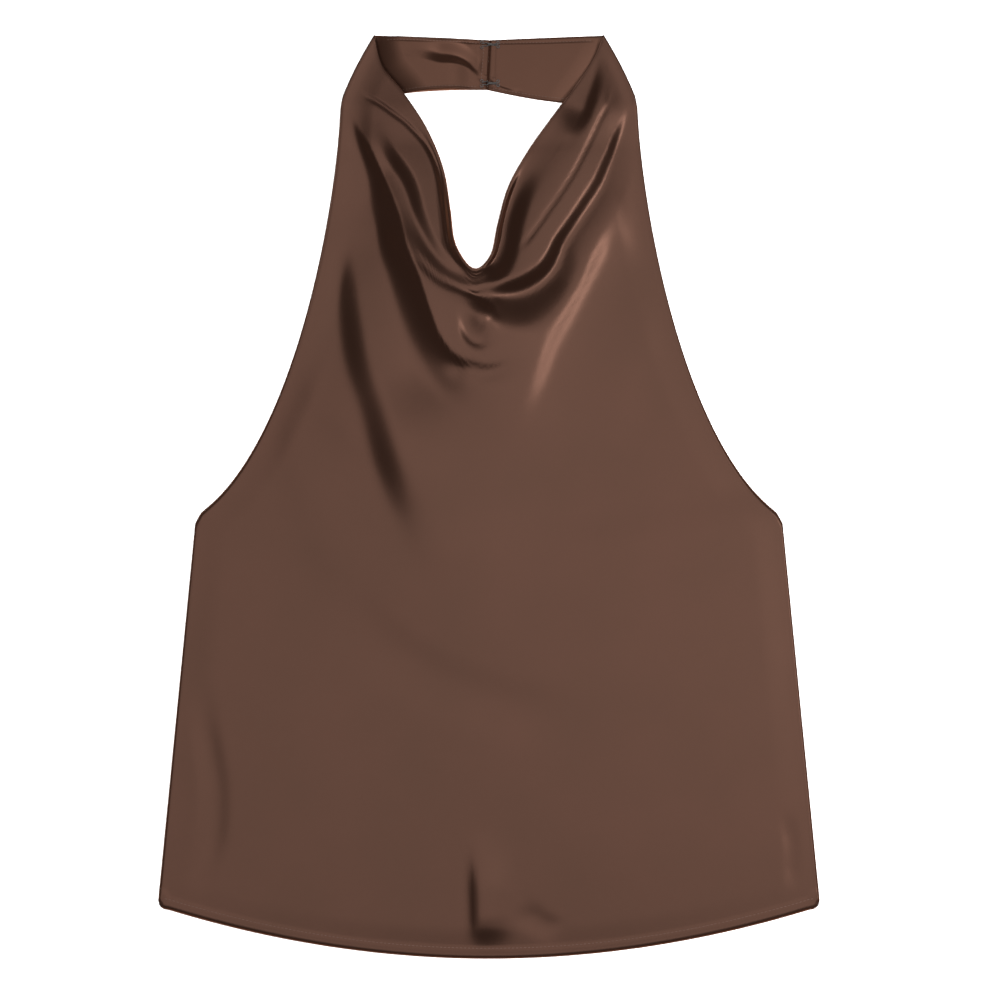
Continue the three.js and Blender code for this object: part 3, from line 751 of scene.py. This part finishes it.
BAND_FOLDS = [
    ("pulled fold", [1, 2.4, 3.4, 3, 1.6], [2.5, 5, 8, 8, 6], [8, 20, 22], [0.2], [0.5], 0.15, 0.4,
     [(-9, 306.5), (-12, 310), (-16, 313), (-22, 315), (-29, 315.5), (-36, 315.8), (-45, 318), (-54, 320)]),
    ("corner fold, right", [1.5], [2.5, 2], [9, 7], [0.2], [0.5], 0.1, 0.4,
     [(1.2, 305), (6, 301.5), (12, 299), (19, 297.5)]),
]
BAND_ROLLS = [
    ("end crease, left", -0.5, 1.2, 1.2, 0.1, 0.1, [(-6.3, 332), (-6.8, 315), (-7.4, 298)]),
    ("end crease, right", -0.5, 1.2, 1.2, 0.1, 0.1, [(4.2, 332), (3.8, 315), (3.6, 306)]),
    ("seam of the upper edge, left", -0.35, 1.2, 1.2, 0.05, 0.05, [(-76, 333.2), (-40, 332), (-1, 331)]),
    ("seam of the upper edge, right", -0.35, 1.2, 1.2, 0.05, 0.05, [(1, 331), (40, 331.6), (76, 333)]),
]


def band_plan(side, low_bow, across, t):
    """Points of a half in plan: across is 0 at the middle and 1 at the strap, t runs down it."""
    outer = side_points(side, FOLD_SHARE * t)
    inner = np.column_stack([
        BAND_MIDDLE_X + side * BUTT_GAP / 2 + BAND_SLANT * (1 - 2 * t),
        BAND_MIDDLE_TOP_Y + (BAND_MIDDLE_LOW_Y - BAND_MIDDLE_TOP_Y) * t,
    ])
    points = inner + (outer - inner) * across[:, None]
    points[:, 1] += t * low_bow * np.sin(np.pi * across)
    return points


for name, side, low_bow, swell, sink in BAND_HALVES:
    def band_grid(s, t):
        return band_plan(side, low_bow, 1 - (s if side < 0 else 1 - s) ** BAND_CROWDING, t)

    band_edge = rim_line(band_grid, BAND_EDGE_STEPS)

    def band_underside(points):
        from_neck, neck_side, _ = measure_from(neck_edge, points)
        clear = bend(np.where(neck_side > 0, from_neck, 0) / sink, 0)
        from_ends = np.abs(points[:, 0] - BAND_MIDDLE_X)
        relief = BAND_END_RISE + (swell - BAND_END_RISE) * ease(*BAND_FLAT_END, from_ends)
        relief += roll_height(BAND_ROLLS, points) - fold_drop(BAND_FOLDS, points)
        height = (relief + np.sqrt(relief ** 2 + BAND_SOFTENING)) / 2
        edge = quarter_round(measure_from(band_edge, points)[0], BAND_EDGE_TURN)
        return loop_lift(points, BAND_LOOP_REACH) + height * clear * edge

    band = cloth_piece(f"{name}_cloth", BAND_COLUMNS, BAND_ROWS, band_grid, band_underside,
                       satin_inside, band_edge)
    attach(band, "root")
    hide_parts(name)

    steps = np.linspace(0, 1, BAND_EDGE_STEPS)
    rows = [band_plan(side, low_bow, np.interp(steps, (0, 1), across), np.interp(steps, (0, 1), down))
            for across, down in BAND_STITCH_ROWS]
    band_lines = [on_cloth(row, band_underside, THREAD_LIFT) for row in rows]
    stitch_rows(f"{name}_stitches", band_lines, BAND_STITCH_PITCH, BAND_STITCH, 0, 5 + side)

# Hooks and eyes: each is one bent wire with two eyelets. A hook's two shanks run side by side
# and fold back over the round bar of its eye, which lies on the other half of the neckband.
WIRE_GAUGE = 0.7
WIRE_SIDES = 8
WIRE_STEPS = 90
WIRE_REST = 2.15
EYELET_RADIUS = 0.95
EYELET_ANGLES = (210, 170, 130, 90, 50, 10, -30, -60, -90)
CLOSURE_ROWS = [
    # name, middle
    ("upper", BAND_MIDDLE_TOP_Y - 3.4),
    ("lower", BAND_MIDDLE_LOW_Y + 4.6),
]
# One half of each wire from its eyelet to the middle of its bend: x, y and rise
HOOK_EYELET = (6.6, 1.45)
HOOK_HALF = [
    (4.6, 0.45, 0), (2.4, 0.4, 0), (0.4, 0.4, 0.05), (-0.7, 0.4, 0.25), (-1.1, 0.4, 0.75), (-0.7, 0.4, 1.25),
    (0.2, 0.4, 1.5), (1.4, 0.38, 1.45), (2.0, 0.2, 1.4), (2.1, 0, 1.4),
]
EYE_EYELET = (-5.2, 1.75)
EYE_HALF = [(-3.9, 0.9, 0.05), (-2.6, 1.15, 0.3), (-1.3, 1.1, 0.6), (-0.55, 0.65, 0.75), (-0.35, 0, 0.75)]


def wire_path(eyelet, half, middle_y):
    """A wire from one eyelet round its bend to the other, mirrored about its middle line."""
    angles = np.radians(EYELET_ANGLES)
    ring = [(eyelet[0] + EYELET_RADIUS * np.cos(a), eyelet[1] + EYELET_RADIUS * np.sin(a), 0) for a in angles]
    one = np.array(ring + half, float)
    points = spline(np.vstack([one, one[-2::-1] * [1, -1, 1]]), WIRE_STEPS)
    return points + [0, middle_y, WIRE_REST + WIRE_GAUGE / 2]


def swept_wire(name, path, gauge, material):
    """Round wire along a path, its ends closed."""
    tangents = np.gradient(path, axis=0)
    tangents /= np.linalg.norm(tangents, axis=1)[:, None]
    across = np.array([0, 0, 1.0])
    angles = np.linspace(0, 2 * np.pi, WIRE_SIDES, endpoint=False)
    rings = []
    for point, tangent in zip(path, tangents):
        across = across - across @ tangent * tangent
        across /= np.linalg.norm(across)
        other = np.cross(tangent, across)
        rings.append(point + gauge / 2 * (np.cos(angles)[:, None] * across + np.sin(angles)[:, None] * other))
    grid = np.arange(len(path) * WIRE_SIDES).reshape(len(path), WIRE_SIDES)
    around = np.roll(grid, -1, axis=1)
    faces = np.stack([grid[:-1], around[:-1], around[1:], grid[1:]], -1).reshape(-1, 4).tolist()
    faces += [grid[0, ::-1].tolist(), grid[-1].tolist()]
    mesh = bpy.data.meshes.new(name)
    mesh.from_pydata((np.vstack(rings) * MM).tolist(), [], faces)
    mesh.polygons.foreach_set("use_smooth", np.ones(len(faces), bool))
    mesh.materials.append(material)
    piece = bpy.data.objects.new(name, mesh)
    scene.collection.objects.link(piece)
    return piece


# Dark coated wire: a thin enamel, a little paler in small flecks
FLECK_SCALE = 1400.0
dark_wire, tree = new_material("dark_coated_steel_wire")
place = add_node(tree, "ShaderNodeTexCoord").outputs["Object"]
flecks = add_node(tree, "ShaderNodeTexNoise", Vector=place, Scale=FLECK_SCALE, Detail=3.0)
bare = add_node(tree, "ShaderNodeMapRange", Value=flecks.outputs[0], From_Min=0.62, From_Max=0.72)
coat = add_node(tree, "ShaderNodeMix", {"data_type": "RGBA"}, i0=bare.outputs[0],
                i6=linear("#0f0a08"), i7=linear("#2c231f"))
gloss = add_node(tree, "ShaderNodeMapRange", Value=flecks.outputs[0], To_Min=0.38, To_Max=0.6)
bump = add_node(tree, "ShaderNodeBump", Strength=0.3, Distance=0.02 * MM, Height=flecks.outputs[0])
shader = add_node(tree, "ShaderNodeBsdfPrincipled", Base_Color=coat.outputs[2], Roughness=gloss.outputs[0],
                  Metallic=0.0, Normal=bump.outputs[0])
add_node(tree, "ShaderNodeOutputMaterial", Surface=shader.outputs[0])

for level, middle_y in CLOSURE_ROWS:
    for kind, eyelet, half in (("hook", HOOK_EYELET, HOOK_HALF), ("eye", EYE_EYELET, EYE_HALF)):
        wire = swept_wire(f"{kind}_{level}_wire", wire_path(eyelet, half, middle_y), WIRE_GAUGE, dark_wire)
        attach(wire, "root")
        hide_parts(f"{kind}_{level}")

# Eyelet stitches: whip stitches of the same thread over the wire of each eyelet. They hold the
# hooks and eyes to the neckband.
WHIP_PITCH = 1.1
WHIP_STITCH = 1.5
WHIP_ANGLES = (35, 325)
WHIP_STEPS = 24
ring = np.radians(np.linspace(*WHIP_ANGLES, WHIP_STEPS))
circle = EYELET_RADIUS * np.column_stack([np.cos(ring), np.sin(ring), 0 * ring])
whips = [circle + (x, middle_y + side * y, WIRE_REST + WIRE_GAUGE + THREAD_GAUGE / 3)
         for _, middle_y in CLOSURE_ROWS for x, y in (HOOK_EYELET, EYE_EYELET) for side in (-1, 1)]
stitch_rows("eyelet_stitches", whips, WHIP_PITCH, WHIP_STITCH, 90, 11)
